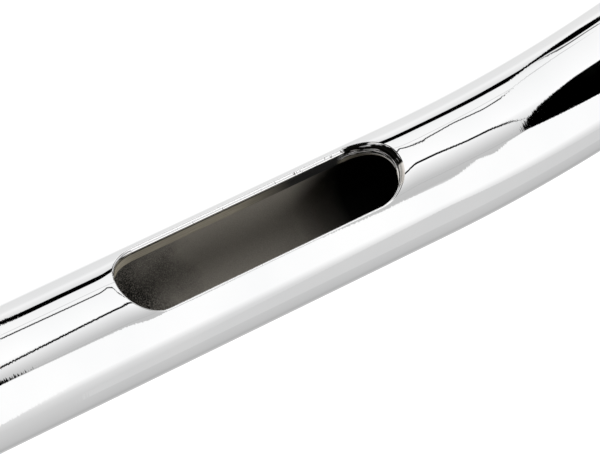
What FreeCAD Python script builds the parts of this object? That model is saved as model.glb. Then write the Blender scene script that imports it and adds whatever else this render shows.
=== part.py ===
"""T-bar handlebar: one bent tube welded across two upright risers, slotted for wiring.

Millimetres. X runs across the bar, +Y points forward and +Z up. The origin lies midway
between the two risers, on the plane of their bottom faces.

The crossbar is bent flat, in one plane, and that plane is then tilted, so that both arms
drop as they come back towards the rider. Each riser is a coped tube with a fillet weld round
the cope and a threaded insert in its foot.
"""

import FreeCAD, Part
import Sketcher
import math
import os

Vector = FreeCAD.Vector
Rotation = FreeCAD.Rotation

# Driving dimensions: name, value in millimetres or degrees, meaning
SIZES = [
    ("bar_od", 25.4, "outside diameter of the crossbar tube"),
    ("bar_wall", 3.05, "wall of the crossbar tube"),
    ("bar_height", 203.2, "from the riser feet up to the crossbar's centreline"),
    ("centre_length", 190.0, "straight middle of the crossbar, from bend to bend"),
    ("bend_radius", 152.4, "centreline radius of each bend"),
    ("pullback_angle", 30.0, "turn of each bend"),
    ("arm_length", 242.0, "straight arm past each bend"),
    ("droop_angle", 15.0, "tilt of the crossbar's plane, arms down"),
    ("end_chamfer", 0.8, "chamfer of the tube's outer end edges"),
    ("slot_width", 14.3, "width of the wiring slot in each arm"),
    ("slot_length", 60.3, "length of that slot over its round ends"),
    ("slot_from_bend", 37.0, "from the end of the bend to the middle of the slot"),
    ("exit_width", 14.3, "width of the wiring exit under the middle of the bar"),
    ("exit_length", 32.0, "length of that exit over its round ends"),
    ("slot_rim", 0.5, "chamfer of the outer edges of slots and exit"),
    ("riser_spacing", 88.9, "between the centrelines of the risers"),
    ("riser_od", 22.2, "outside diameter of each riser tube"),
    ("riser_wall", 3.05, "wall of each riser tube"),
    ("weld_radius", 4.0, "hollow radius of the fillet weld round each cope"),
    ("flange_height", 6.0, "flange of the insert, under the riser tube"),
    ("spigot_height", 26.0, "spigot of the insert, inside the riser tube"),
    ("spigot_gap", 0.05, "radial clearance of the spigot in the tube"),
    ("foot_chamfer", 1.0, "chamfer round the foot of the insert"),
    ("thread_minor", 10.8, "minor diameter of the riser bolt's thread"),
    ("thread_depth", 24.0, "depth of the threaded hole to the end of its full bore"),
    ("drill_angle", 118.0, "included angle of the cone that the drill leaves"),
]

SIDES = (("left", -1), ("right", 1))

# How near two shapes lie, in millimetres, to count as touching
TOUCH = 0.001

# Formulas in the sheet's names, for sizes that several features share
BAR_RADIUS = "Sizes.bar_od / 2"
RISER_RADIUS = "Sizes.riser_od / 2"
SLOT_ACROSS = (
    "(Sizes.centre_length / 2 + Sizes.bend_radius * sin(Sizes.pullback_angle)"
    " + Sizes.slot_from_bend * cos(Sizes.pullback_angle))"
)
SLOT_BACK = (
    "(Sizes.bend_radius * (1 - cos(Sizes.pullback_angle))"
    " + Sizes.slot_from_bend * sin(Sizes.pullback_angle))"
)

doc = FreeCAD.newDocument("t_bar_handlebar")
sheet = doc.addObject("Spreadsheet::Sheet", "Sizes")
for row, (name, value, meaning) in enumerate(SIZES, start=1):
    sheet.set(f"A{row}", meaning)
    sheet.set(f"B{row}", str(value))
    sheet.setAlias(f"B{row}", name)
doc.recompute()


def size(formula):
    """Work out a formula in the sheet's names as a plain number."""
    return float(sheet.evalExpression(formula.replace("Sizes.", "")))


# Sketches and bodies

def new_body(name):
    """Start a body whose label names its file."""
    body = doc.addObject("PartDesign::Body", name)
    body.Label = name
    return body


def origin_plane(body, role):
    """Find one of the body's own origin planes."""
    for feature in body.Origin.OriginFeatures:
        if feature.Role == role:
            return feature
    raise ValueError(role)


def new_sketch(body, name, role):
    """Lay an empty sketch on one of the body's origin planes."""
    sketch = body.newObject("Sketcher::SketchObject", f"{body.Name}_{name}")
    sketch.AttachmentSupport = [(origin_plane(body, role), "")]
    sketch.MapMode = "FlatFace"
    return sketch


def new_feature(body, kind, name, sketch=None):
    """Add a PartDesign feature, with its profile where it has one."""
    feature = body.newObject(f"PartDesign::{kind}", f"{body.Name}_{name}")
    if sketch is not None:
        feature.Profile = sketch
    return feature


def bind(sketch, kind, *where_and_formula):
    """Add a driving constraint whose value follows the sheet."""
    *where, formula = where_and_formula
    value = size(formula)
    if kind == "Angle":
        value = FreeCAD.Units.Quantity(f"{value} deg")
        formula = f"({formula}) * 1 deg"
    index = sketch.addConstraint(Sketcher.Constraint(kind, *where, value))
    sketch.setExpression(f"Constraints[{index}]", formula)


def circle(sketch, radius, height=None):
    """Draw a circle about the sketch's origin, or at a height above it."""
    centre = Vector(0, size(height) if height else 0, 0)
    ring = sketch.addGeometry(Part.Circle(centre, Vector(0, 0, 1), size(radius)))
    if height:
        sketch.addConstraint(Sketcher.Constraint("PointOnObject", ring, 3, -2))
        bind(sketch, "DistanceY", -1, 1, ring, 3, height)
    else:
        sketch.addConstraint(Sketcher.Constraint("Coincident", ring, 3, -1, 1))
    bind(sketch, "Radius", ring, radius)


def polygon(sketch, corners):
    """Draw a closed outline whose corners are pairs of formulas."""
    points = [Vector(size(x), size(y), 0) for x, y in corners]
    count = len(points)
    for index in range(count):
        sketch.addGeometry(Part.LineSegment(points[index], points[(index + 1) % count]))
    for index, (x, y) in enumerate(corners):
        after = (index - 1) % count
        sketch.addConstraint(Sketcher.Constraint("Coincident", after, 2, index, 1))
        if size(x) == 0:
            sketch.addConstraint(Sketcher.Constraint("PointOnObject", index, 1, -2))
        else:
            bind(sketch, "DistanceX", -1, 1, index, 1, x)
        if size(y) == 0:
            sketch.addConstraint(Sketcher.Constraint("PointOnObject", index, 1, -1))
        else:
            bind(sketch, "DistanceY", -1, 1, index, 1, y)


def round_ended_slot(sketch, length, width):
    """Draw a slot with semicircular ends, centred on the sketch's origin."""
    radius = size(width) / 2
    reach = size(length) / 2 - radius
    quarter = math.pi / 2
    right_circle = Part.Circle(Vector(reach, 0, 0), Vector(0, 0, 1), radius)
    left_circle = Part.Circle(Vector(-reach, 0, 0), Vector(0, 0, 1), radius)
    top_line = Part.LineSegment(Vector(reach, radius, 0), Vector(-reach, radius, 0))
    bottom_line = Part.LineSegment(Vector(-reach, -radius, 0), Vector(reach, -radius, 0))
    right = sketch.addGeometry(Part.ArcOfCircle(right_circle, -quarter, quarter))
    left = sketch.addGeometry(Part.ArcOfCircle(left_circle, quarter, 3 * quarter))
    top = sketch.addGeometry(top_line)
    bottom = sketch.addGeometry(bottom_line)
    for first, first_end, second, second_end in (
        (right, 2, top, 1), (top, 2, left, 1), (left, 2, bottom, 1), (bottom, 2, right, 1),
    ):
        sketch.addConstraint(
            Sketcher.Constraint("Tangent", first, first_end, second, second_end))
    sketch.addConstraint(Sketcher.Constraint("PointOnObject", right, 3, -1))
    sketch.addConstraint(Sketcher.Constraint("Symmetric", right, 3, left, 3, -1, 1))
    bind(sketch, "Radius", right, f"{width} / 2")
    bind(sketch, "DistanceX", left, 3, right, 3, f"{length} - {width}")


# Crossbar

def bar_path(body):
    """Draw half of the bar's centreline: middle, bend and arm, to the right."""
    sketch = new_sketch(body, "centreline", "XY_Plane")
    half = size("Sizes.centre_length / 2")
    radius = size("Sizes.bend_radius")
    turn = size("Sizes.pullback_angle")
    back = Rotation(Vector(0, 0, 1), -turn)
    hub = Vector(half, -radius, 0)
    bend_end = hub + back.multVec(Vector(0, radius, 0))
    arm_end = bend_end + back.multVec(Vector(size("Sizes.arm_length"), 0, 0))
    ring = Part.Circle(hub, Vector(0, 0, 1), radius)
    middle = sketch.addGeometry(Part.LineSegment(Vector(0, 0, 0), Vector(half, 0, 0)))
    bend = sketch.addGeometry(Part.ArcOfCircle(ring, math.radians(90 - turn), math.radians(90)))
    arm = sketch.addGeometry(Part.LineSegment(bend_end, arm_end))
    sketch.addConstraint(Sketcher.Constraint("Coincident", middle, 1, -1, 1))
    sketch.addConstraint(Sketcher.Constraint("PointOnObject", middle, 2, -1))
    sketch.addConstraint(Sketcher.Constraint("Tangent", middle, 2, bend, 2))
    sketch.addConstraint(Sketcher.Constraint("Tangent", bend, 1, arm, 1))
    bind(sketch, "DistanceX", -1, 1, middle, 2, "Sizes.centre_length / 2")
    bind(sketch, "Radius", bend, "Sizes.bend_radius")
    bind(sketch, "Distance", arm, "Sizes.arm_length")
    bind(sketch, "Angle", arm, "-Sizes.pullback_angle")
    return sketch


def cut_arm_slot(body, side_name, side):
    """Cut the wiring slot into one arm, on the side that the bend turns towards."""
    sketch = new_sketch(body, f"{side_name}_slot_outline", "XZ_Plane")
    sketch.AttachmentOffset = FreeCAD.Placement(Vector(), Rotation(Vector(0, 1, 0), 1))
    sketch.setExpression("AttachmentOffset.Base.x", f"{side} * {SLOT_ACROSS}")
    sketch.setExpression("AttachmentOffset.Base.z", SLOT_BACK)
    sketch.setExpression("AttachmentOffset.Rotation.Angle", f"{-side} * Sizes.pullback_angle * 1 deg")
    round_ended_slot(sketch, "Sizes.slot_length", "Sizes.slot_width")
    pocket = new_feature(body, "Pocket", f"{side_name}_slot", sketch)
    pocket.Reversed = True
    pocket.setExpression("Length", "Sizes.bar_od")


def cut_exit(body):
    """Cut the wiring exit into the underside of the middle."""
    sketch = new_sketch(body, "exit_outline", "XY_Plane")
    round_ended_slot(sketch, "Sizes.exit_length", "Sizes.exit_width")
    pocket = new_feature(body, "Pocket", "exit", sketch)
    pocket.setExpression("Length", "Sizes.bar_od")


def outer_edges(shape, centreline):
    """List the edges where the tube's outer wall stops: its two ends and every rim."""
    radius = size(BAR_RADIUS)
    walls = []
    for face in shape.Faces:
        low_u, high_u, low_v, high_v = face.ParameterRange
        middle = face.valueAt((low_u + high_u) / 2, (low_v + high_v) / 2)
        distance = centreline.distToShape(Part.Vertex(middle))[0]
        if abs(distance - radius) < TOUCH:
            walls.append(face)
    found = []
    for index, edge in enumerate(shape.Edges, start=1):
        owners = [face for face in walls if any(edge.isSame(own) for own in face.Edges)]
        if len(owners) == 1 and not edge.isSeam(owners[0]):
            found.append((index, edge))
    return found


def break_edges(body, name, wanted, breadth):
    """Chamfer the outer edges that the test wants."""
    path = doc.getObject(f"{body.Name}_centreline").Shape
    flip = FreeCAD.Matrix()
    flip.scale(-1, 1, 1)
    centreline = Part.makeCompound([path, path.transformGeometry(flip)])
    base = body.Tip
    names = [
        f"Edge{index}"
        for index, edge in outer_edges(base.Shape, centreline)
        if wanted(edge)
    ]
    chamfer = new_feature(body, "Chamfer", name)
    chamfer.Base = (base, names)
    chamfer.setExpression("Size", breadth)


def is_tube_end(edge):
    """Tell a tube end's full circle from a stretch of a slot's rim."""
    if not isinstance(edge.Curve, Part.Circle):
        return False
    return abs(edge.Curve.Radius - size(BAR_RADIUS)) < TOUCH


def make_crossbar():
    """Sweep the tube, mirror it, cut its openings and break their edges."""
    body = new_body("crossbar")
    body.Placement = FreeCAD.Placement(Vector(), Rotation(Vector(1, 0, 0), 1))
    body.setExpression("Placement.Base.z", "Sizes.bar_height")
    body.setExpression("Placement.Rotation.Angle", "Sizes.droop_angle * 1 deg")
    path = bar_path(body)
    section = new_sketch(body, "section", "YZ_Plane")
    circle(section, BAR_RADIUS)
    circle(section, f"{BAR_RADIUS} - Sizes.bar_wall")
    doc.recompute()
    tube = new_feature(body, "AdditivePipe", "half_tube", section)
    tube.Spine = (path, ["Edge1", "Edge2", "Edge3"])
    tube.Transition = "Transformed"
    mirror = new_feature(body, "Mirrored", "tube")
    mirror.Originals = [tube]
    mirror.MirrorPlane = (origin_plane(body, "YZ_Plane"), [""])
    body.Tip = mirror
    for side_name, side in SIDES:
        cut_arm_slot(body, side_name, side)
    cut_exit(body)
    doc.recompute()
    break_edges(body, "end_chamfer", is_tube_end, "Sizes.end_chamfer")
    doc.recompute()
    break_edges(body, "rim_chamfer", lambda edge: not is_tube_end(edge), "Sizes.slot_rim")
    return body


# Risers and inserts

def add_weld(body, outline):
    """Lay a fillet round the corner between a riser and a solid bar across its top."""
    bar = new_feature(body, "Pad", "bar", outline)
    bar.Midplane = True
    bar.setExpression("Length", "2 * Sizes.riser_od")
    doc.recompute()
    seam = [
        f"Edge{index}"
        for index, edge in enumerate(bar.Shape.Edges, start=1)
        if not isinstance(edge.Curve, (Part.Circle, Part.Line))
    ]
    weld = new_feature(body, "Fillet", "weld")
    weld.Base = (bar, seam)
    weld.setExpression("Radius", "Sizes.weld_radius")


def make_riser(side_name, side):
    """Stand a tube on its insert's flange, coped to the bar, with the weld round the cope."""
    body = new_body(f"{side_name}_riser")
    body.setExpression("Placement.Base.x", f"{side} * Sizes.riser_spacing / 2")
    section = new_sketch(body, "section", "XY_Plane")
    section.setExpression("AttachmentOffset.Base.z", "Sizes.flange_height")
    circle(section, RISER_RADIUS)
    post = new_feature(body, "Pad", "post", section)
    post.setExpression("Length", "Sizes.bar_height - Sizes.flange_height")
    outline = new_sketch(body, "bar_outline", "YZ_Plane")
    circle(outline, BAR_RADIUS, height="Sizes.bar_height")
    add_weld(body, outline)
    cope = new_feature(body, "Pocket", "cope", outline)
    cope.Midplane = True
    cope.setExpression("Length", "3 * Sizes.riser_od")
    hole = new_sketch(body, "bore_outline", "XY_Plane")
    circle(hole, f"{RISER_RADIUS} - Sizes.riser_wall")
    bore = new_feature(body, "Pocket", "bore", hole)
    bore.Midplane = True
    bore.setExpression("Length", "2 * Sizes.bar_height")
    return body


def make_insert(side_name, side):
    """Turn the threaded insert, with its flange, spigot and drilled hole."""
    body = new_body(f"{side_name}_riser_insert")
    body.setExpression("Placement.Base.x", f"{side} * Sizes.riser_spacing / 2")
    bore = "Sizes.thread_minor / 2"
    spigot = f"({RISER_RADIUS} - Sizes.riser_wall - Sizes.spigot_gap)"
    top = "(Sizes.flange_height + Sizes.spigot_height)"
    cone_top = f"(Sizes.thread_depth + {bore} / tan(Sizes.drill_angle / 2))"
    outline = new_sketch(body, "outline", "XZ_Plane")
    polygon(outline, [
        (bore, "0"),
        (bore, "Sizes.thread_depth"),
        ("0", cone_top),
        ("0", top),
        (spigot, top),
        (spigot, "Sizes.flange_height"),
        (RISER_RADIUS, "Sizes.flange_height"),
        (RISER_RADIUS, "Sizes.foot_chamfer"),
        (f"{RISER_RADIUS} - Sizes.foot_chamfer", "0"),
    ])
    turned = new_feature(body, "Revolution", "turned", outline)
    turned.ReferenceAxis = (outline, ["V_Axis"])
    turned.Angle = 360
    return body


# The whole part

def check_document():
    """Stop on any object that failed to rebuild."""
    for thing in doc.Objects:
        if {"Invalid", "Error"} & set(thing.State):
            raise RuntimeError(f"{thing.Label} did not rebuild: {thing.State}")


def export(piece):
    """Check one piece's shape and write its file."""
    shape = piece.Shape
    if shape.isNull() or not shape.isValid() or not shape.Solids:
        raise RuntimeError(f"{piece.Label} has no sound solid")
    print(f"{piece.Label}: {len(shape.Solids)} solid, {shape.Volume:.1f} cubic millimetres")
    shape.exportStep(f"parts/{piece.Label}.step")


pieces = [make_crossbar()]
for side_name, side in SIDES:
    pieces.append(make_riser(side_name, side))
    pieces.append(make_insert(side_name, side))
doc.recompute()
check_document()
os.makedirs("parts", exist_ok=True)
for piece in pieces:
    export(piece)
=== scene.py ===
"""Looks of the T-bar handlebar: polished chrome tube with its slots, welds and threads.

Metres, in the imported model's frame. X runs across the bar, +Y points forward and +Z up.
Each wall is laid out on the tube's own surface, with exact normals, so reflections run
cleanly over the bends, round the slot rims and along the welds.
"""

import math

import bpy
import numpy as np
from mathutils import Matrix, Vector

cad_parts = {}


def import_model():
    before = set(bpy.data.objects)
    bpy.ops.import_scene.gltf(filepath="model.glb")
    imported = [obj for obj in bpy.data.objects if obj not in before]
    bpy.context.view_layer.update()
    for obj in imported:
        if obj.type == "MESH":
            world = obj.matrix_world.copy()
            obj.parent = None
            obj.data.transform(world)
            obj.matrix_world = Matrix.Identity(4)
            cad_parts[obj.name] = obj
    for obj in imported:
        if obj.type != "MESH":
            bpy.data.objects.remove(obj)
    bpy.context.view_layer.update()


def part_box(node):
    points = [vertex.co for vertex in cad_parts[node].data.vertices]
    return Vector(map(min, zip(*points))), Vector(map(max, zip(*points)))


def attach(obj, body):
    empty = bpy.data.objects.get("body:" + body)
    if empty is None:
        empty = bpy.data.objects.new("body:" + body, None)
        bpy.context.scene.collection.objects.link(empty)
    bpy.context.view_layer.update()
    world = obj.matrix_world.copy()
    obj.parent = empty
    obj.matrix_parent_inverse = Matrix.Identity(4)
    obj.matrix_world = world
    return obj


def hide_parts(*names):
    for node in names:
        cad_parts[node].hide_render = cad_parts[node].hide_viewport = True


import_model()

MM = 0.001

# The bar, as the model has it
BAR_RADIUS = 12.7 * MM
BORE_RADIUS = 9.65 * MM
BAR_HEIGHT = 203.2 * MM
MIDDLE = 95.0 * MM
BEND_RADIUS = 152.4 * MM
PULLBACK = math.radians(30)
ARM = 242.0 * MM
DROOP = math.radians(15)
END_ROUND = 0.8 * MM
BORE_ROUND = 0.3 * MM
BEND = BEND_RADIUS * PULLBACK
REACH = MIDDLE + BEND + ARM

# Openings: the sizes of their outline, of their rims and of the dip that polishing leaves
SLOT_MIDDLE = MIDDLE + BEND + 37.0 * MM
SLOT_STRAIGHT = 23.0 * MM
EXIT_STRAIGHT = 8.85 * MM
SLOT_END = 7.15 * MM
RIM_ROUND = 0.4 * MM
LOWER_ROUND = 0.65 * MM
OUTER_END_ROUND = 0.3 * MM
INNER_END_ROUND = 1.1 * MM
BURR_ROUND = 0.15 * MM
SIDE_DIP = 0.03 * MM
END_DIP = 0.2 * MM
DIP_REACH = 4.2 * MM
# Each opening's middle along the bar, direction round it and straight half
OPENINGS = (
    (-SLOT_MIDDLE, 0.0, SLOT_STRAIGHT),
    (0.0, math.pi / 2, EXIT_STRAIGHT),
    (SLOT_MIDDLE, 0.0, SLOT_STRAIGHT),
)

# Risers, welds and inserts
RISER_ACROSS = (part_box("right_riser")[0].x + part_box("right_riser")[1].x) / 2
RISER_RADIUS = 11.1 * MM
WELD_RADIUS = 4.0 * MM
RIPPLE = 0.12 * MM
RIPPLES = 38
RIPPLE_LEAN = 0.16
RIPPLE_LEVEL = 0.3
RIPPLE_SWELL = 0.7
FLANGE = 6.0 * MM
FOOT_CHAMFER = 1.0 * MM
THREAD_MINOR = 5.4 * MM
THREAD_MAJOR = 6.2 * MM
THREAD_PITCH = 1.954 * MM
THREAD_DEPTH = 24.0 * MM
THREAD_LEAD = 0.9 * MM
THREAD_RUN_IN = 1.0 * MM
TOOTH_FLAT = 1.25
TOOTH_SLOPE = 3
DRILL_TIP = 3.0 * MM

# Radius and height of the insert's outline, from the seam down, round the foot and into the hole,
# with each edge eased by a fraction of a millimetre
FOOT_PROFILE = (
    (RISER_RADIUS - 0.25 * MM, FLANGE + 0.05 * MM),
    (RISER_RADIUS - 0.05 * MM, FLANGE - 0.15 * MM),
    (RISER_RADIUS, FLANGE - 0.35 * MM),
    (RISER_RADIUS, FOOT_CHAMFER + 0.15 * MM),
    (RISER_RADIUS - 0.08 * MM, FOOT_CHAMFER - 0.06 * MM),
    (RISER_RADIUS - FOOT_CHAMFER + 0.06 * MM, 0.08 * MM),
    (RISER_RADIUS - FOOT_CHAMFER - 0.15 * MM, 0.0),
    (THREAD_MAJOR + 0.25 * MM, 0.0),
    (THREAD_MAJOR + 0.05 * MM, 0.08 * MM),
    (THREAD_MINOR, THREAD_LEAD),
)

# Materials by their places on each piece
OUTSIDE, CUT, BORE, RIM = 0, 1, 2, 3
BEAD = 1
THREAD = 1

# Mesh fineness
AROUND = 144
PATCH_HALF = AROUND // 6
SIDE_STEPS = 10
END_STEPS = 9
END_STEP = 1.5 * MM
RINGS = 16
RING_CROWDING = 1.6
RIM_STEPS = 8
WALL_STEPS = 6
BURR_STEPS = 4
EDGE_STEPS = 6
BEND_STEPS = 48
ARM_STEPS = 20
MIDDLE_STEPS = 8
RISER_AROUND = 720
WELD_STEPS = 16
SHAFT_STEPS = 4
INSERT_AROUND = 144
THREAD_STEPS = 12
SAME_PLACE = 0.01 * MM

# Where the plain stretches of the arm and of the middle start, and their gap at the far end
ARM_FROM = SLOT_MIDDLE + 40 * MM
MIDDLE_FROM = 24 * MM
STATION_GAP = 2 * MM


# The bar's centreline and its walls

def along(s):
    """Centre point, axis, back and down directions of the bar at distances from its middle."""
    s = np.asarray(s, float)
    side = np.where(s < 0, -1.0, 1.0)
    far = np.abs(s)
    turn = np.clip((far - MIDDLE) / BEND_RADIUS, 0, PULLBACK)
    past = np.maximum(far - MIDDLE - BEND, 0)
    across = np.minimum(far, MIDDLE) + BEND_RADIUS * np.sin(turn) + past * np.cos(PULLBACK)
    behind = BEND_RADIUS * (1 - np.cos(turn)) + past * np.sin(PULLBACK)
    zero = np.zeros_like(s)
    centre = np.stack([side * across, -behind, zero], -1)
    axis = np.stack([np.cos(turn), -side * np.sin(turn), zero], -1)
    back = np.stack([-side * np.sin(turn), -np.cos(turn), zero], -1)
    down = np.stack([zero, zero, zero - 1], -1)
    return centre, axis, back, down


def wall(s, angle, radius):
    """Points and outward normals on a wall, at an angle from the back towards the underside."""
    centre, _, back, down = along(s)
    angle = np.asarray(angle, float)[..., None]
    normal = np.cos(angle) * back + np.sin(angle) * down
    return centre + radius * normal, normal


def droop(vectors):
    """Tilt the bar's plane, so that the arms drop towards the rider."""
    c, s = math.cos(DROOP), math.sin(DROOP)
    x, y, z = np.moveaxis(vectors, -1, 0)
    return np.stack([x, c * y - s * z, s * y + c * z], -1)


class Skin:
    """A mesh put together from sheets of points with known normals."""

    def __init__(self):
        self.points, self.normals, self.faces, self.slots = [], [], [], []
        self.marks = []
        self.count = 0

    def add(self, points, normals, marks=None):
        """Add points and return their numbers, in the same layout.

        The marks are how far each point lies along its piece, or along and down a cut.
        """
        shape = points.shape[:-1]
        size = int(np.prod(shape))
        numbers = np.arange(self.count, self.count + size).reshape(shape)
        self.points.append(points.reshape(-1, 3))
        self.normals.append(normals.reshape(-1, 3))
        self.marks.append(np.zeros((size, 2)) if marks is None else marks.reshape(-1, 2))
        self.count += size
        return numbers

    def sheet(self, numbers, slot, closed=False, keep=None):
        """Join a grid of points by quads. The second direction may close on itself."""
        after = np.roll(numbers, -1, axis=1) if closed else numbers[:, 1:]
        first = numbers if closed else numbers[:, :-1]
        quads = np.stack([first[:-1], first[1:], after[1:], after[:-1]], -1)
        if keep is not None:
            quads = quads[keep]
        quads = quads.reshape(-1, 4)
        self.faces.append(quads)
        self.slots.append(np.full(len(quads), slot))

    def build(self, name, materials):
        """Make the mesh object, with its faces turned to agree with the normals."""
        points = np.concatenate(self.points)
        normals = np.concatenate(self.normals)
        normals /= np.linalg.norm(normals, axis=1)[:, None]
        faces = np.concatenate(self.faces)
        slots = np.concatenate(self.slots)
        a, b, c, d = (points[faces[:, k]] for k in range(4))
        flat = np.cross(c - a, d - b)
        facing = (flat * normals[faces].sum(1)).sum(1)
        faces[facing < 0] = faces[facing < 0][:, ::-1]
        mesh = bpy.data.meshes.new(name)
        mesh.from_pydata(points.tolist(), [], faces.tolist())
        for material in materials:
            mesh.materials.append(material)
        mesh.polygons.foreach_set("material_index", slots.astype(np.int32))
        mesh.polygons.foreach_set("use_smooth", np.ones(len(faces), bool))
        layer = mesh.uv_layers.new(name="marks")
        layer.uv.foreach_set("vector", np.concatenate(self.marks)[faces].ravel())
        mesh.update()
        mesh.normals_split_custom_set_from_vertices(normals.tolist())
        piece = bpy.data.objects.new(name, mesh)
        bpy.context.scene.collection.objects.link(piece)
        return piece


def stations():
    """Distances along the bar at which its walls have a ring of points."""
    marks = {-REACH + END_ROUND, REACH - END_ROUND}
    for middle, _, straight in OPENINGS:
        for step in range(-SIDE_STEPS, SIDE_STEPS + 1):
            marks.add(middle + straight * step / SIDE_STEPS)
        for step in range(1, END_STEPS + 1):
            marks.add(middle + straight + END_STEP * step)
            marks.add(middle - straight - END_STEP * step)
    arm_span = REACH - STATION_GAP - ARM_FROM
    middle_span = MIDDLE - STATION_GAP - MIDDLE_FROM
    for side in (-1, 1):
        for step in range(BEND_STEPS + 1):
            marks.add(side * (MIDDLE + BEND * step / BEND_STEPS))
        for step in range(1, ARM_STEPS):
            marks.add(side * (ARM_FROM + arm_span * step / ARM_STEPS))
        for step in range(1, MIDDLE_STEPS):
            marks.add(side * (MIDDLE_FROM + middle_span * step / MIDDLE_STEPS))
    return np.array(sorted(round(mark, 9) for mark in marks))


def patch_outline(marks, opening):
    """Grid places round an opening, and the outline's angle or place for each."""
    middle, direction, straight = opening
    reach = straight + END_STEP * END_STEPS
    low = int(np.argmin(np.abs(marks - (middle - reach))))
    high = int(np.argmin(np.abs(marks - (middle + reach))))
    start = int(round(direction / (2 * math.pi) * AROUND)) - PATCH_HALF
    end = start + 2 * PATCH_HALF
    loop = [(i, start) for i in range(low, high)]
    loop += [(high, j) for j in range(start, end)]
    loop += [(i, end) for i in range(high, low, -1)]
    loop += [(low, j) for j in range(end, start, -1)]
    return low, high, start, end, loop


def outline_points(marks, opening, loop):
    """The slot's sharp outline, one point for each grid place, with the wall's direction."""
    middle, direction, straight = opening
    beside = [abs(marks[i] - middle) < straight + SAME_PLACE for i, _ in loop]
    start = loop[0][1]
    low_side = [k for k, (_, j) in enumerate(loop) if beside[k] and j == start]
    high_side = [k for k, (_, j) in enumerate(loop) if beside[k] and j == start + 2 * PATCH_HALF]
    count = len(loop)
    along_slot = np.zeros(count)
    across_slot = np.zeros(count)
    inward = np.zeros((count, 2))
    for side, members in ((-1, low_side), (1, high_side)):
        for k in members:
            along_slot[k] = marks[loop[k][0]] - middle
            across_slot[k] = side * SLOT_END
            inward[k] = (0, -side)
    for first, last, centre, begin in (
        (low_side[-1], high_side[0], straight, -math.pi / 2),
        (high_side[-1], low_side[0] + count, -straight, math.pi / 2),
    ):
        for k in range(first, last + 1):
            turn = begin + math.pi * (k - first) / (last - first)
            c, s = math.cos(turn), math.sin(turn)
            along_slot[k % count] = centre + SLOT_END * c
            across_slot[k % count] = SLOT_END * s
            inward[k % count] = (-c, -s)
    return along_slot, across_slot, inward


def round_corner(before, corner, after, normal, radius, steps):
    """Points and normals round a corner, on the arc that touches both of its sides."""
    first, second = before - corner, after - corner
    unit = [v / np.linalg.norm(v, axis=-1, keepdims=True) for v in (first, second)]
    between = np.arccos(np.clip((unit[0] * unit[1]).sum(-1, keepdims=True), -1, 1))
    weight = np.sin(between / 2)
    centre = before - radius * normal
    points, normals = [], []
    for step in range(steps + 1):
        t = step / steps
        a, b, c = (1 - t) ** 2, 2 * t * (1 - t) * weight, t * t
        point = (a * before + b * corner + c * after) / (a + b + c)
        away = point - centre
        points.append(point)
        normals.append(away / np.linalg.norm(away, axis=-1, keepdims=True))
    return np.stack(points), np.stack(normals)


def rim_corner(along_slot, across_slot, inward, radius, edge_round, hollow):
    """Tangent points and corner where the cut meets a wall, in the opening's own axes."""
    height = np.sqrt(radius ** 2 - across_slot ** 2)
    zero = np.zeros_like(height)
    corner = np.stack([along_slot, across_slot, height], -1)
    outward = np.stack([zero, across_slot, height], -1) / radius
    normal = -outward if hollow else outward
    cut = np.concatenate([inward, zero[:, None]], -1)
    cosine = (normal * cut).sum(-1, keepdims=True)
    tangent = edge_round * np.tan(np.arccos(np.clip(cosine, -1, 1)) / 2)
    away = cosine * normal - cut
    away /= np.linalg.norm(away, axis=-1, keepdims=True)
    on_wall = corner + away * tangent
    drop = np.stack([zero, zero, zero + (1 if hollow else -1)], -1)
    on_cut = corner + drop * tangent
    reach = np.hypot(on_wall[:, 1], on_wall[:, 2])
    on_wall[:, 1:] *= (radius / reach)[:, None]
    fresh = np.stack([zero, on_wall[:, 1], on_wall[:, 2]], -1) / radius
    return on_wall, corner, on_cut, (-fresh if hollow else fresh), cut


def opening_axes(opening):
    """Place and axes of an opening: along the bar, round it and outward."""
    middle, direction, _ = opening
    centre, axis, back, down = along(middle)
    out = math.cos(direction) * back + math.sin(direction) * down
    round_bar = -math.sin(direction) * back + math.cos(direction) * down
    return centre, np.stack([axis, round_bar, out])


def rim_dip(points, normals, s, angle, opening):
    """Sink the wall softly towards a hole's edge, most at its ends, as polishing does."""
    middle, direction, straight = opening
    _, axes = opening_axes(opening)
    beyond = s - middle - np.clip(s - middle, -straight, straight)
    turn = angle - direction
    across_slot = BAR_RADIUS * np.sin(turn)
    reach = np.hypot(beyond, across_slot)
    lean = (beyond / reach)[..., None]
    round_way = np.cos(turn)[..., None] * axes[1] - np.sin(turn)[..., None] * axes[2]
    away = lean * axes[0] + (across_slot / reach)[..., None] * round_way
    deepest = SIDE_DIP + (END_DIP - SIDE_DIP) * lean ** 2
    share = np.clip(1 - (reach - SLOT_END)[..., None] / DIP_REACH, 0, 1)
    slope = 3 * deepest / DIP_REACH * share ** 2
    sunk = deepest * share ** 3
    return points - sunk * normals, normals - slope * away, sunk[0]


def along_only(s):
    """Marks of points on a plain wall, which have no depth."""
    return np.stack([s, np.zeros_like(s)], -1)


def rim_rounds(inward, middle):
    """Radius of the broken rim round an opening, by the way that the cut faces."""
    inner_end = inward[:, :1] * np.sign(middle) > 0
    end_round = np.where(inner_end, INNER_END_ROUND, OUTER_END_ROUND)
    side_round = np.where(inward[:, 1:] < 0, LOWER_ROUND, RIM_ROUND)
    return side_round + (end_round - side_round) * inward[:, :1] ** 2


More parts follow.
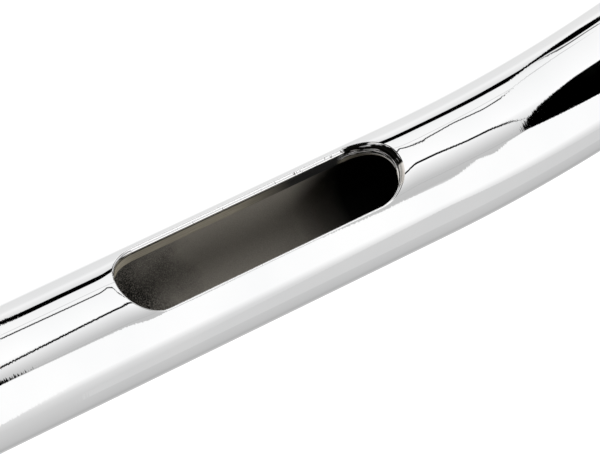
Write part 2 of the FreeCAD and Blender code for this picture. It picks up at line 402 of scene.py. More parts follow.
def wall_patch(skin, marks, grid, opening, loop, on_wall, hollow):
    """Join a wall's grid to an opening's edge, and return the edge's points and its dip."""
    middle, direction, _ = opening
    grid_s = np.array([marks[i] for i, _ in loop])
    grid_angle = np.array([j for _, j in loop]) * 2 * math.pi / AROUND
    rim_s = middle + on_wall[:, 0]
    rim_angle = direction + np.arctan2(on_wall[:, 1], on_wall[:, 2])
    share = np.linspace(0, 1, RINGS + 1)[:-1, None] ** RING_CROWDING
    s = rim_s + share * (grid_s - rim_s)
    angle = rim_angle + share * (grid_angle - rim_angle)
    points, normals = wall(s, angle, BORE_RADIUS if hollow else BAR_RADIUS)
    sunk = None
    if hollow:
        normals = -normals
    else:
        points, normals, sunk = rim_dip(points, normals, s, angle, opening)
    numbers = skin.add(points, normals, along_only(s))
    border = np.array([grid[i, j % AROUND] for i, j in loop])
    skin.sheet(np.concatenate([numbers, border[None]]), BORE if hollow else OUTSIDE, closed=True)
    return numbers[0], sunk


def line_opening(skin, opening, outer_rim, inner_rim, rim_round, edges, sunk):
    """Line an opening between the edges of its walls: rounded rim, cut and burr."""
    centre, axes = opening_axes(opening)
    on_wall, corner, on_cut, normal, cut = outer_rim
    lowered = [points - sunk * normal for points in (on_wall, corner, on_cut)]
    steps = np.linalg.norm(np.roll(corner, -1, axis=0) - corner, axis=1)
    travel = np.cumsum(steps) - steps
    rim_points, rim_normals = round_corner(*lowered, normal, rim_round, RIM_STEPS)
    depth = np.linspace(-RIM_ROUND, 0, RIM_STEPS)[:, None]
    top = skin.add(centre + rim_points[1:] @ axes, rim_normals[1:] @ axes,
                   np.stack(np.broadcast_arrays(travel, depth), -1))
    skin.sheet(np.concatenate([edges[0][None], top]), RIM, closed=True)
    low_wall, low_corner, low_cut, low_normal, _ = inner_rim
    share = np.linspace(0, 1, WALL_STEPS + 1)[1:, None, None]
    points = lowered[2] + share * (low_cut - lowered[2])
    side = skin.add(centre + points @ axes,
                    np.broadcast_to(cut @ axes, (WALL_STEPS, *cut.shape)),
                    np.stack([np.broadcast_to(travel, points.shape[:2]),
                              lowered[2][:, 2] - points[..., 2]], -1))
    skin.sheet(np.concatenate([top[-1:], side]), CUT, closed=True)
    burr_points, burr_normals = round_corner(
        low_wall, low_corner, low_cut, low_normal, BURR_ROUND, BURR_STEPS)
    burr = skin.add(centre + burr_points[1:-1] @ axes, burr_normals[1:-1] @ axes)
    skin.sheet(np.concatenate([edges[1][None], burr, side[-1:]]), CUT, closed=True)


def cut_opening(skin, marks, outer, bore, opening):
    """Fill the gap round one opening, and tell which quads of the walls it takes the place of."""
    low, high, start, end, loop = patch_outline(marks, opening)
    shape = outline_points(marks, opening, loop)
    rim_round = rim_rounds(shape[2], opening[0])
    outer_rim = rim_corner(*shape, BAR_RADIUS, rim_round, False)
    inner_rim = rim_corner(*shape, BORE_RADIUS, BURR_ROUND, True)
    edge, sunk = wall_patch(skin, marks, outer, opening, loop, outer_rim[0], False)
    bore_edge, _ = wall_patch(skin, marks, bore, opening, loop, inner_rim[0], True)
    line_opening(skin, opening, outer_rim, inner_rim, rim_round, (edge, bore_edge), sunk)
    inside = np.zeros((len(marks) - 1, AROUND), bool)
    columns = np.arange(start, end) % AROUND
    inside[low:high, columns] = True
    return inside


def tube_end(skin, side, outer_ring, bore_ring, angles):
    """Close one end of the tube: rounded outer edge, turned face and bore edge."""
    rings, normals = [], []
    for hollow, radius, edge in (
        (False, END_ROUND, BAR_RADIUS - END_ROUND), (True, BORE_ROUND, BORE_RADIUS + BORE_ROUND),
    ):
        for step in range(EDGE_STEPS + 1):
            turn = math.pi / 2 * step / EDGE_STEPS
            lift, push = math.cos(turn), math.sin(turn)
            if hollow:
                lift, push = -push, lift
            distance = side * (REACH - radius + radius * push)
            points, normal = wall(np.full(AROUND, distance), angles, edge + radius * lift)
            _, axis, _, _ = along(distance)
            rings.append(points)
            normals.append(normal * lift + side * axis * push)
    numbers = skin.add(np.stack(rings[1:-1]), np.stack(normals[1:-1]))
    whole = np.concatenate([outer_ring[None], numbers, bore_ring[None]])
    skin.sheet(whole, OUTSIDE, closed=True)


def make_crossbar(materials):
    """Lay out the whole bent tube, outside and in, with its three openings."""
    skin = Skin()
    marks = stations()
    angles = np.arange(AROUND) * 2 * math.pi / AROUND
    grid_s, grid_angle = np.meshgrid(marks, angles, indexing="ij")
    points, normals = wall(grid_s, grid_angle, BAR_RADIUS)
    outer = skin.add(points, normals, along_only(grid_s))
    bore_s = grid_s.copy()
    bore_s[0] -= END_ROUND - BORE_ROUND
    bore_s[-1] += END_ROUND - BORE_ROUND
    points, normals = wall(bore_s, grid_angle, BORE_RADIUS)
    bore = skin.add(points, -normals)
    inside = np.zeros((len(marks) - 1, AROUND), bool)
    for opening in OPENINGS:
        inside |= cut_opening(skin, marks, outer, bore, opening)
    skin.sheet(outer, OUTSIDE, closed=True, keep=~inside)
    skin.sheet(bore, BORE, closed=True, keep=~inside)
    tube_end(skin, -1, outer[0], bore[0], angles)
    tube_end(skin, 1, outer[-1], bore[-1], angles)
    skin.points = [droop(part) + (0, 0, BAR_HEIGHT) for part in skin.points]
    skin.normals = [droop(part) for part in skin.normals]
    return skin.build("crossbar_chrome", materials)


# Risers, welds and inserts

def weld_rows(turn, round_post, low):
    """Plain rows of the fillet weld from post to bar, their normals and the post's toe."""
    s = np.sin(turn)
    seam_drop = np.sqrt(BAR_RADIUS ** 2 - (RISER_RADIUS * s) ** 2)
    slope = np.arctan2(RISER_RADIUS * s * s, seam_drop)
    leg = WELD_RADIUS * np.tan((math.pi / 2 - slope) / 2)
    seam = BAR_HEIGHT - seam_drop
    toe_reach = RISER_RADIUS + leg * np.cos(slope)
    toe_height = BAR_HEIGHT - np.sqrt(BAR_RADIUS ** 2 - (toe_reach * s) ** 2)
    corner = RISER_RADIUS * round_post + seam[:, None] * low
    post_toe = RISER_RADIUS * round_post + (seam - leg)[:, None] * low
    bar_toe = toe_reach[:, None] * round_post + toe_height[:, None] * low
    points, normals = round_corner(
        post_toe, corner, bar_toe, -round_post, WELD_RADIUS, WELD_STEPS)
    return points, normals, seam - leg


def ripple(points, normals, turn):
    """Scallop a weld's rows, and work out the normals of the rippled surface."""
    share = np.linspace(0, 1, WELD_STEPS + 1)[:, None]
    swell = np.sin(math.pi * share) ** RIPPLE_SWELL
    scallop = np.abs(np.sin(RIPPLES / 2 * (turn + RIPPLE_LEAN * np.sin(math.pi * share))))
    points = points + (-normals) * (swell * (scallop - RIPPLE_LEVEL) * RIPPLE)[..., None]
    rows = np.gradient(points, axis=0)
    ring = np.concatenate([points[:, -1:], points, points[:, :1]], 1)
    columns = np.gradient(ring, axis=1)[:, 1:-1]
    rippled = np.cross(columns, rows)
    rippled *= np.sign((rippled * -normals).sum(-1, keepdims=True))
    rippled /= np.linalg.norm(rippled, axis=-1, keepdims=True)
    return points, rippled


def make_riser(name, across, materials):
    """Lay out a riser's outside with its rippled weld, up to the bar."""
    skin = Skin()
    turn = np.arange(RISER_AROUND) * 2 * math.pi / RISER_AROUND
    zero = np.zeros_like(turn)
    round_post = np.stack([np.cos(turn), np.sin(turn), zero], -1)
    low = np.stack([zero, zero, zero + 1], -1)
    points, normals, toe = weld_rows(turn, round_post, low)
    points, normals = ripple(points, normals, turn)
    normals[0] = round_post
    shares = np.linspace(0, 1, SHAFT_STEPS + 1)[:-1, None]
    levels = FLANGE + shares * (toe - FLANGE)
    shaft = RISER_RADIUS * round_post + levels[..., None] * low
    shaft = skin.add(shaft + (across, 0, 0), np.broadcast_to(round_post, shaft.shape),
                     along_only(shaft[..., 2]))
    bead = skin.add(points + (across, 0, 0), normals, along_only(points[..., 2]))
    skin.sheet(np.concatenate([shaft, bead[:1]]), OUTSIDE, closed=True)
    skin.sheet(bead, BEAD, closed=True)
    return skin.build(name, materials)


def foot_surface(skin, across, c, s):
    """Lay out the insert's outline as turned bands, from the seam to the hole."""
    for (r0, z0), (r1, z1) in zip(FOOT_PROFILE, FOOT_PROFILE[1:]):
        ring = np.stack([np.stack([r * c, r * s, 0 * c + z], -1) for r, z in ((r0, z0), (r1, z1))])
        across_way, along_way = -(z1 - z0), r1 - r0
        normal = np.stack([across_way * c, across_way * s, 0 * c + along_way], -1)
        band = skin.add(ring + (across, 0, 0), np.broadcast_to(normal, ring.shape))
        skin.sheet(band, OUTSIDE, closed=True)


def thread_surface(skin, across, c, s, turn):
    """Lay out the thread up the hole, and the drilled end above it."""
    rows = THREAD_STEPS * int(THREAD_DEPTH / THREAD_PITCH)
    height = THREAD_LEAD + (THREAD_DEPTH - THREAD_LEAD) * np.linspace(0, 1, rows + 1)[:, None]
    phase = (height / THREAD_PITCH + turn / (2 * math.pi)) % 1
    tooth = np.clip(TOOTH_FLAT - np.abs(phase - 0.5) * TOOTH_SLOPE, 0, 1)
    tooth = tooth * np.clip((height - THREAD_LEAD) / THREAD_RUN_IN, 0, 1)
    radius = THREAD_MINOR + (THREAD_MAJOR - THREAD_MINOR) * tooth
    points = np.stack([radius * c, radius * s, height + 0 * radius], -1)
    rise = np.gradient(radius, axis=0) / np.gradient(height, axis=0)
    normals = np.stack([-c + 0 * radius, -s + 0 * radius, rise], -1)
    thread = skin.add(points + (across, 0, 0), normals)
    skin.sheet(thread, THREAD, closed=True)
    tip = np.broadcast_to((0, 0, THREAD_DEPTH + DRILL_TIP), points[-1].shape)
    cap = np.stack([points[-1], tip])
    roof = skin.add(cap + (across, 0, 0), np.broadcast_to((0, 0, -1.0), cap.shape))
    skin.sheet(roof, THREAD, closed=True)


def make_insert(name, across, materials):
    """Lay out a riser's foot: flange, chamfered edge, face and the thread up its hole."""
    skin = Skin()
    turn = np.arange(INSERT_AROUND) * 2 * math.pi / INSERT_AROUND
    c, s = np.cos(turn), np.sin(turn)
    foot_surface(skin, across, c, s)
    thread_surface(skin, across, c, s, turn)
    return skin.build(name, materials)


# The right slot's middle and axes, which the materials, the tent and the lamps go by

SLOT_TURN = Matrix.Rotation(DROOP, 3, "X") @ Matrix.Rotation(-PULLBACK, 3, "Z")
TO_BEND = SLOT_TURN @ Vector((-1, 0, 0))
OUT_OF_SLOT = SLOT_TURN @ Vector((0, -1, 0))
ROUND_SLOT = SLOT_TURN @ Vector((0, 0, -1))
SLOT_CENTRE = Vector(droop(along(SLOT_MIDDLE)[0])) + Vector((0, 0, BAR_HEIGHT))

# Distances from a slot's middle towards the bend at which looks change, and over how much
STAIN_FROM, STAIN_BLEND = -17 * MM, 13 * MM
# The bore's painted shade starts here, towards the bend
BORE_SHADE_FROM, BORE_SHADE_BLEND = 18.5 * MM, 11 * MM
# The cut wall's painted shade starts here, towards the bend
WALL_SHADE_FROM, WALL_SHADE_BLEND = 5 * MM, 13 * MM
WALL_MILLED_FROM, WALL_MILLED_BLEND = 22.5 * MM, 1.5 * MM
RIM_MILLED_FROM, RIM_MILLED_BLEND = 23.3 * MM, 0.5 * MM
NICKS_FROM, NICKS_BLEND = 2 * MM, 16 * MM
OUTER_NICKS_TO, OUTER_NICKS_BLEND = -28.5 * MM, 3 * MM

# How far from its middle a slot's looks reach, and how far the stain's edge wavers
SLOT_REACH = 60 * MM
STAIN_WAVER = 20 * MM

# Distances below the arms' plane, or above it if negative, at which looks change, and over how
# much
NICKED_BELOW, NICKED_BLEND = 1.0 * MM, 2.0 * MM
# Above this edge the milled end keeps its bright colour, below it is painted shade
MILLED_BRIGHT_TO, MILLED_BRIGHT_BLEND = -1.8 * MM, 0.3 * MM
MILLED_RIM_FROM, MILLED_RIM_BLEND = -5.5 * MM, 0.8 * MM

# Depths down the cut at which its looks change, and over how much
LIP_DEPTH, LIP_BLEND = 0.3 * MM, 0.1 * MM
MILLED_DEPTH, MILLED_DEPTH_BLEND = 1.6 * MM, 0.6 * MM

# Scales of textures, per metre. A pair is along and down a cut, and three are along a tube and
# in the part's Y and Z
TONE_SCALE = 45
HAZE_SCALE = 180
PEEL_SCALE = 260
CLOUD_SCALE = 160
STAIN_SCALE = 3800
GRAIN_SCALE = 5200
NICK_MARKS = (1700, 2300)
MILL_MARKS = (230, 3600)
RING_MARKS = (1900, 130, 130)

# Heights of bumps, and how strong the ones are that have one strength everywhere
PEEL_HEIGHT = 0.2 * MM
FINE_HEIGHT = 0.1 * MM
RING_STRENGTH = 0.03
MILL_STRENGTH = 0.3
GRAIN_STRENGTH = 0.15

# How much more of the rim is nicked by the bend and at the outer end
NICKS_BY_BEND = 0.08
NICKS_AT_OUTER_END = 0.24

# Colours as stops on a texture, each a place and a grey or colour
PLATE_TONES = ((0.35, (0.91, 0.915, 0.92)), (0.65, (0.95, 0.95, 0.95)))
NICK_TONES = ((0.24, (0.20, 0.19, 0.175)), (0.30, (0.98, 0.98, 0.98)))
# Painted shade on the milled end: black, with bright streaks of the cutter
SHADE_MILLED_TONES = ((0.53, (0.006, 0.006, 0.005)), (0.57, (0.97, 0.96, 0.95)))
BRIGHT_MILLED_TONES = ((0.40, (0.80, 0.75, 0.69)), (0.64, (0.97, 0.95, 0.92)))
CUT_TONES = ((0.3, (0.155, 0.140, 0.108)), (0.7, (0.23, 0.21, 0.168)))
STEEL_TONES = ((0.3, (0.150, 0.139, 0.121)), (0.7, (0.195, 0.182, 0.16)))
STAIN_TONES = (
    (0.38, (0.006, 0.006, 0.005)),
    (0.50, (0.048, 0.045, 0.040)),
    (0.68, (0.19, 0.178, 0.158)),
)
# A near-black band along the cut's top edge, and also painted shade on the cut wall by the bend
LIP_AND_SHADE_GREY = 0.01
# Painted shade, near black, on the bore's end by the bend
BORE_SHADE_GREY = 0.001

# Roughness as stops on a texture or a mask
RIM_ROUGHNESS = ((0.0, 0.03), (1.0, 0.3))
CUT_ROUGHNESS = ((0.35, 0.55), (0.65, 0.38))
BORE_ROUGHNESS = ((0.3, 0.42), (0.7, 0.6))
HAZE_FROM, HAZE_TO = 0.4, 0.75


# Materials

def new_material(name):
    """Start a material and return it with its node tree and shader."""
    material = bpy.data.materials.new(name)
    material.use_nodes = True
    tree = material.node_tree
    return material, tree, tree.nodes["Principled BSDF"]


def noise_at(tree, place, scale, detail):
    """Add a noise texture at a place."""
    texture = tree.nodes.new("ShaderNodeTexNoise")
    texture.inputs["Scale"].default_value = scale
    texture.inputs["Detail"].default_value = detail
    tree.links.new(place, texture.inputs["Vector"])
    return texture.outputs["Fac"]


def noise(tree, scale, detail):
    """Add a noise texture in the object's own space, at a scale per metre."""
    place = tree.nodes.new("ShaderNodeTexCoord").outputs["Object"]
    return noise_at(tree, place, scale, detail)


def ramp(tree, source, *stops):
    """Turn a number into a colour by stops of place and grey or colour."""
    node = tree.nodes.new("ShaderNodeValToRGB")
    points = node.color_ramp.elements
    while len(points) < len(stops):
        points.new(0.5)
    for point, (place, colour) in zip(points, stops):
        point.position = place
        point.color = (colour, colour, colour, 1) if isinstance(colour, float) else (*colour, 1)
    tree.links.new(source, node.inputs["Fac"])
    return node.outputs["Color"]


def math_node(tree, operation, first, second=None, clamp=False):
    """Work out one operation on sockets or numbers."""
    node = tree.nodes.new("ShaderNodeMath")
    node.operation = operation
    node.use_clamp = clamp
    for socket, value in zip(node.inputs, (first, second)):
        if isinstance(value, (int, float)):
            socket.default_value = value
        elif value is not None:
            tree.links.new(value, socket)
    return node.outputs[0]


def passed(tree, value, edge, softness):
    """Rise from 0 to 1 where a value passes an edge."""
    over = math_node(tree, "SUBTRACT", value, edge)
    scaled = math_node(tree, "DIVIDE", over, softness)
    return math_node(tree, "ADD", scaled, 0.5, clamp=True)


def before(tree, value, edge, softness):
    """Fall from 1 to 0 where a value passes an edge."""
    return math_node(tree, "SUBTRACT", 1.0, passed(tree, value, edge, softness))


def give_colour(tree, socket, colour):
    """Give a socket a grey, or the colour that another socket holds."""
    if isinstance(colour, float):
        socket.default_value = (colour, colour, colour, 1)
    else:
        tree.links.new(colour, socket)


def mixed(tree, under, over, mask):
    """Lay a colour or grey over another where a mask says so."""
    node = tree.nodes.new("ShaderNodeMix")
    node.data_type = "RGBA"
    tree.links.new(mask, node.inputs["Factor"])
    give_colour(tree, node.inputs["A"], under)
    give_colour(tree, node.inputs["B"], over)
    return node.outputs["Result"]


def bump(tree, source, strength, distance, shader, under=None):
    """Raise the surface by a texture, over any coarser one."""
    node = tree.nodes.new("ShaderNodeBump")
    node.inputs["Strength"].default_value = strength
    node.inputs["Distance"].default_value = distance
    tree.links.new(source, node.inputs["Height"])
    if under is not None:
        tree.links.new(under, node.inputs["Normal"])
    tree.links.new(node.outputs["Normal"], shader.inputs["Normal"])
    return node.outputs["Normal"]


def skin_marks(tree):
    """How far a place lies along its piece or cut, and down the cut."""
    marks = tree.nodes.new("ShaderNodeUVMap")
    marks.uv_map = "marks"
    split = tree.nodes.new("ShaderNodeSeparateXYZ")
    tree.links.new(marks.outputs["UV"], split.inputs[0])
    return split.outputs["X"], split.outputs["Y"]


def object_place(tree):
    """X, Y and Z of a place in the part's own frame."""
    place = tree.nodes.new("ShaderNodeTexCoord")
    split = tree.nodes.new("ShaderNodeSeparateXYZ")
    tree.links.new(place.outputs["Object"], split.inputs[0])
    return split.outputs["X"], split.outputs["Y"], split.outputs["Z"]


def combined(tree, *values):
    """Put numbers together as one place."""
    node = tree.nodes.new("ShaderNodeCombineXYZ")
    for socket, value in zip(node.inputs, values):
        tree.links.new(value, socket)
    return node.outputs["Vector"]


def dot(tree, vector, axis):
    """How far a place or direction reaches along an axis."""
    node = tree.nodes.new("ShaderNodeVectorMath")
    node.operation = "DOT_PRODUCT"
    node.inputs[1].default_value = axis
    tree.links.new(vector, node.inputs[0])
    return node.outputs["Value"]


def scaled_noise(tree, places, scales, detail):
    """Add a noise texture at a place given by numbers, with a scale for each."""
    scaled = [math_node(tree, "MULTIPLY", place, scale)
              for place, scale in zip(places, scales)]
    return noise_at(tree, combined(tree, *scaled), 1.0, detail)


def cut_streaks(tree, scales):
    """Streaks left by the cutter, at scales along and down the cut."""
    return scaled_noise(tree, skin_marks(tree), scales, 3.0)


def slot_place(tree):
    """How far a place lies from its slot's middle: towards the bend, and below the arms' plane."""
    x, y, z = object_place(tree)
    mirrored = combined(tree, math_node(tree, "ABSOLUTE", x), y, z)
    return [
        math_node(tree, "SUBTRACT", dot(tree, mirrored, axis), SLOT_CENTRE.dot(axis))
        for axis in (TO_BEND, ROUND_SLOT)
    ]


def toward_bend(tree, inward, edge, softness):
    """Rise from 0 to 1 past an edge on the bend's side of a slot, and fall again in the bend."""
    near = before(tree, inward, SLOT_REACH, SLOT_REACH / 2)
    return math_node(tree, "MULTIPLY", passed(tree, inward, edge, softness), near)


def polish_rings(tree):
    """Fine marks that the polishing wheel leaves round a tube."""
    along_tube, _ = skin_marks(tree)
    _, y, z = object_place(tree)
    return scaled_noise(tree, (along_tube, y, z), RING_MARKS, 2.0)


def chrome(name, polish=0.02, haze=0.05, waves=0.02):
    """Bright chrome plate: hardly any haze, and a faint unevenness left by polishing."""
    material, tree, shader = new_material(name)
    shader.inputs["Metallic"].default_value = 1.0
    tone = ramp(tree, noise(tree, TONE_SCALE, 4), *PLATE_TONES)
    tree.links.new(tone, shader.inputs["Base Color"])
    hazy = ramp(tree, noise(tree, HAZE_SCALE, 5), (HAZE_FROM, polish), (HAZE_TO, haze))
    tree.links.new(hazy, shader.inputs["Roughness"])
    peel = bump(tree, noise(tree, PEEL_SCALE, 3), waves, PEEL_HEIGHT, shader)
    bump(tree, polish_rings(tree), RING_STRENGTH, FINE_HEIGHT, shader, peel)
    return material


def milled_end_and_shade(tree, lower, streaks):
    """Colour of the cut at a slot's end by the bend: bright above; below, painted shade, black with
    streaks.
    """
    # Painted shade below the edge, with the cutter's bright streaks
    black = ramp(tree, streaks, *SHADE_MILLED_TONES)
    bright = ramp(tree, streaks, *BRIGHT_MILLED_TONES)
    above = before(tree, lower, MILLED_BRIGHT_TO, MILLED_BRIGHT_BLEND)
    return mixed(tree, black, bright, above)


def rim_nicks(tree, inward, lower):
    """Colour of the broken rim: bright, with dark nicks in its lower side."""
    by_bend = math_node(tree, "MULTIPLY",
                        toward_bend(tree, inward, NICKS_FROM, NICKS_BLEND), NICKS_BY_BEND)
    at_outer_end = math_node(tree, "MULTIPLY",
                             before(tree, inward, OUTER_NICKS_TO, OUTER_NICKS_BLEND),
                             NICKS_AT_OUTER_END)
    chatter = math_node(tree, "ADD", by_bend, at_outer_end)
    below = passed(tree, lower, NICKED_BELOW, NICKED_BLEND)
    deeper = math_node(tree, "MULTIPLY", below, chatter)
    marks = cut_streaks(tree, NICK_MARKS)
    return ramp(tree, math_node(tree, "SUBTRACT", marks, deeper), *NICK_TONES)


def rim_chrome(name):
    """Chrome on the broken rim, nicked below where the cutter chattered, milled with painted shade
    by the bend.
    """
    material, tree, shader = new_material(name)
    shader.inputs["Metallic"].default_value = 1.0
    inward, lower = slot_place(tree)
    streaks = cut_streaks(tree, MILL_MARKS)
    # The milled part by the bend takes painted shade below the arms' plane
    by_bend = math_node(tree, "MULTIPLY",
                        toward_bend(tree, inward, RIM_MILLED_FROM, RIM_MILLED_BLEND),
                        passed(tree, lower, MILLED_RIM_FROM, MILLED_RIM_BLEND))
    colour = mixed(tree, rim_nicks(tree, inward, lower),
                   milled_end_and_shade(tree, lower, streaks), by_bend)
    tree.links.new(colour, shader.inputs["Base Color"])
    tree.links.new(ramp(tree, by_bend, *RIM_ROUGHNESS), shader.inputs["Roughness"])
    return material


def cut_chrome(name):
    """Milled wall of the slots: dull brown satin, with painted shade that darkens it towards the
    bend.
    """
    material, tree, shader = new_material(name)
    shader.inputs["Metallic"].default_value = 0.25
    inward, lower = slot_place(tree)
    _, depth = skin_marks(tree)
    streaks = cut_streaks(tree, MILL_MARKS)
    brown = ramp(tree, streaks, *CUT_TONES)
    deep = passed(tree, depth, MILLED_DEPTH, MILLED_DEPTH_BLEND)
    milled = mixed(tree, milled_end_and_shade(tree, lower, streaks), brown, deep)
    at_end = toward_bend(tree, inward, WALL_MILLED_FROM, WALL_MILLED_BLEND)
    # Painted shade, near black, on the wall from the darkening's start up to the milled end
    dark = mixed(tree, LIP_AND_SHADE_GREY, milled, at_end)
    shaded_by_bend = toward_bend(tree, inward, WALL_SHADE_FROM, WALL_SHADE_BLEND)
    colour = mixed(tree, brown, dark, shaded_by_bend)
    # A near-black band along the cut's top edge, left off at the milled end
    lip = math_node(tree, "SUBTRACT", before(tree, depth, LIP_DEPTH, LIP_BLEND), at_end)
    colour = mixed(tree, colour, LIP_AND_SHADE_GREY, math_node(tree, "MAXIMUM", lip, 0.0))
    tree.links.new(colour, shader.inputs["Base Color"])
    tree.links.new(ramp(tree, streaks, *CUT_ROUGHNESS), shader.inputs["Roughness"])
    bump(tree, streaks, MILL_STRENGTH, FINE_HEIGHT, shader)
    return material


def dark_steel(name):
    """Unplated bore: dull warm grey steel, mottled past the slot's outer end, with painted shade by
    the bend.
    """
    material, tree, shader = new_material(name)
    shader.inputs["Metallic"].default_value = 0.0
    shader.inputs["Specular IOR Level"].default_value = 0.12
    grain = noise(tree, GRAIN_SCALE, 2)
    cloud = noise(tree, CLOUD_SCALE, 3)
    steel = ramp(tree, grain, *STEEL_TONES)
    inward, _ = slot_place(tree)
    uneven = math_node(tree, "SUBTRACT", cloud, 0.5)
    place = math_node(tree, "ADD", inward, math_node(tree, "MULTIPLY", uneven, STAIN_WAVER))
    stain = ramp(tree, noise(tree, STAIN_SCALE, 3), *STAIN_TONES)
    stained = mixed(tree, steel, stain, before(tree, place, STAIN_FROM, STAIN_BLEND))
    # Painted shade, near black, over the bore's end by the bend
    shaded_end = toward_bend(tree, inward, BORE_SHADE_FROM, BORE_SHADE_BLEND)
    tree.links.new(mixed(tree, stained, BORE_SHADE_GREY, shaded_end), shader.inputs["Base Color"])
    tree.links.new(ramp(tree, cloud, *BORE_ROUGHNESS), shader.inputs["Roughness"])
    bump(tree, grain, GRAIN_STRENGTH, FINE_HEIGHT, shader)
    return material


# Studio: floor, world and camera

# Grey that the chrome sees at each angle round the slot's arm, from outward towards underneath
TENT = (
    (-180, 170), (-160, 190), (-120, 205), (-104, 220), (-92, 250), (-58, 250), (-50, 190),
    (-33, 195), (-8, 245), (-4, 255), (56, 245), (70, 225), (84, 245), (92, 230), (118, 225),
    (130, 255), (150, 250), (170, 195),
)

# Cards and seams of the tent: name, grey, then the low and the high edge as pairs of share along
# the arm and angle round it
CARDS = (
    ("softbox", 253,
     ((-0.10, -168), (0.04, -155), (0.12, -120), (0.20, -92), (0.44, -90)),
     ((-0.10, -60), (0.04, -51), (0.17, -38), (0.22, -40), (0.26, -47), (0.29, -42), (0.34, -52),
      (0.40, -57))),
    ("lower wall", 208,
     ((0.20, -135), (0.44, -135)),
     ((0.18, -135), (0.20, -121), (0.36, -99), (0.44, -96))),
    ("front seam", 0,
     ((0.14, -22), (0.175, -13.0), (0.22, -8.2), (0.28, -6.8), (0.35, -2.8)),
     ((0.14, -22), (0.175, -9.6), (0.22, -4.8), (0.28, -3.6), (0.35, 0.8))),
    ("black flag", 0,
     ((-0.10, -60), (0.04, -51), (0.178, -37.5), (0.183, -37)),
     ((-0.10, 0), (-0.01, -1), (0.05, -6), (0.10, -12), (0.15, -23), (0.178, -33), (0.183, -37))),
    ("strip seam", 40,
     ((0.155, 42), (0.18, 33.6), (0.22, 31.6), (0.29, 35.8), (0.35, 33.0), (0.38, 26), (0.41, 12),
      (0.44, -2)),
     ((0.155, 42), (0.18, 36.4), (0.22, 34.0), (0.29, 38.2), (0.35, 35.6), (0.38, 31), (0.41, 20),
      (0.44, 3))),
    ("faint seam", 205,
     ((0.00, 53), (0.08, 51), (0.13, 46), (0.16, 41)),
     ((0.00, 53), (0.08, 53), (0.13, 48.5), (0.16, 42))),
    ("low lip", 90,
     ((0.00, 60), (0.05, 61), (0.10, 60), (0.15, 65), (0.16, 66)),
     ((0.00, 60), (0.05, 63), (0.10, 63), (0.15, 66), (0.16, 66))),
    ("black gap", 0,
     ((0.04, 67), (0.10, 66), (0.15, 68), (0.17, 66), (0.19, 58.6), (0.26, 59.6), (0.35, 62.5)),
     ((0.04, 67), (0.06, 70), (0.10, 77), (0.15, 80), (0.17, 78), (0.19, 69.2), (0.26, 68.6),
      (0.35, 71.6))),
)
SHARE_LOW, SHARE_HIGH = -0.10, 0.45

# How soft a card's edges are, as a share of a turn, and its start, as a share of the ramp
CARD_SOFTNESS = 0.8 / 360
CARD_START_SOFTNESS = 0.002

# The share along the arm about which the tent stands, and how far it reaches before the room shows
TENT_MIDDLE, TENT_REACH, TENT_BLEND = 0.17, 0.32, 0.06

# Grey that the chrome sees elsewhere, by the height of the direction
ROOM = (
    (-1.0, 240), (-0.80, 225), (-0.76, 60), (-0.70, 30), (-0.68, 235), (-0.40, 210), (-0.22, 200),
    (-0.10, 130), (-0.03, 35), (0.03, 20), (0.05, 150), (0.20, 205), (0.34, 232), (0.36, 255),
    (0.62, 255), (0.64, 236), (1.0, 215),
)

# How much of that is left at each place between two upright flags, which stand all round
FLAGS = ((0.0, 12), (0.13, 40), (0.20, 200), (0.55, 255), (1.0, 235))
FLAG_COUNT = 5

# How bright the chrome sees the studio, and what lights everything else from all round
SHINE = 1.07
FILL_GREY = 0.03

# The floor, which glows a little towards the camera
FLOOR_REACH = 6.0
FLOOR_GREY = 0.8
FLOOR_GLOW = 0.5

# Lamps: name, strength, spread in degrees and the direction that the light comes from
LAMPS = (
    ("slot_light", 2.6, 34, TO_BEND + OUT_OF_SLOT),
    ("cross_light", 3.9, 26, TO_BEND + OUT_OF_SLOT * 0.8 - ROUND_SLOT * 1.2),
    ("low_light", 3.2, 30, OUT_OF_SLOT - TO_BEND * 1.1 + ROUND_SLOT * 0.7),
    ("top_light", 1.2, 50, Vector((0, 0, 1))),
)

# The camera's place and aim, and the roll of its frame, as fitted to the photo
CAMERA_PLACE = Vector((117.12, -503.35, 293.10)) * MM
CAMERA_AIM = Vector((193.57, -35.76, 193.80)) * MM
CAMERA_ROLL = math.radians(142.65)
CAMERA_LENS = 150.0


def linear(grey):
    """Turn a display grey of 0 to 255 into light."""
    value = grey / 255
    return value / 12.92 if value <= 0.04045 else ((value + 0.055) / 1.055) ** 2.4


def studio_floor():
    """Spread a pale floor that the camera sees as white with the part's soft shadow."""
    corners = [(x * FLOOR_REACH, y * FLOOR_REACH, 0)
               for x, y in ((-1, -1), (1, -1), (1, 1), (-1, 1))]
    mesh = bpy.data.meshes.new("studio_floor")
    mesh.from_pydata(corners, [], [(0, 1, 2, 3)])
    floor = bpy.data.objects.new("studio_floor", mesh)
    bpy.context.scene.collection.objects.link(floor)
    material, tree, shader = new_material("pale_floor")
    shader.inputs["Base Color"].default_value = (FLOOR_GREY, FLOOR_GREY, FLOOR_GREY, 1)
    shader.inputs["Roughness"].default_value = 1.0
    shader.inputs["Specular IOR Level"].default_value = 0.0
    shader.inputs["Emission Color"].default_value = (1, 1, 1, 1)
    rays = tree.nodes.new("ShaderNodeLightPath")
    glow = math_node(tree, "MULTIPLY", rays.outputs["Is Camera Ray"], FLOOR_GLOW)
    tree.links.new(glow, shader.inputs["Emission Strength"])
    mesh.materials.append(material)
    floor.visible_glossy = False
    floor.visible_shadow = False


def place_of(angle):
    """Turn an angle of -180 to 180 degrees into a place on a ramp."""
    return (angle + 180) / 360


def share_of(along_arm):
    """Turn a share along the arm into a place on a ramp."""
    return (along_arm - SHARE_LOW) / (SHARE_HIGH - SHARE_LOW)


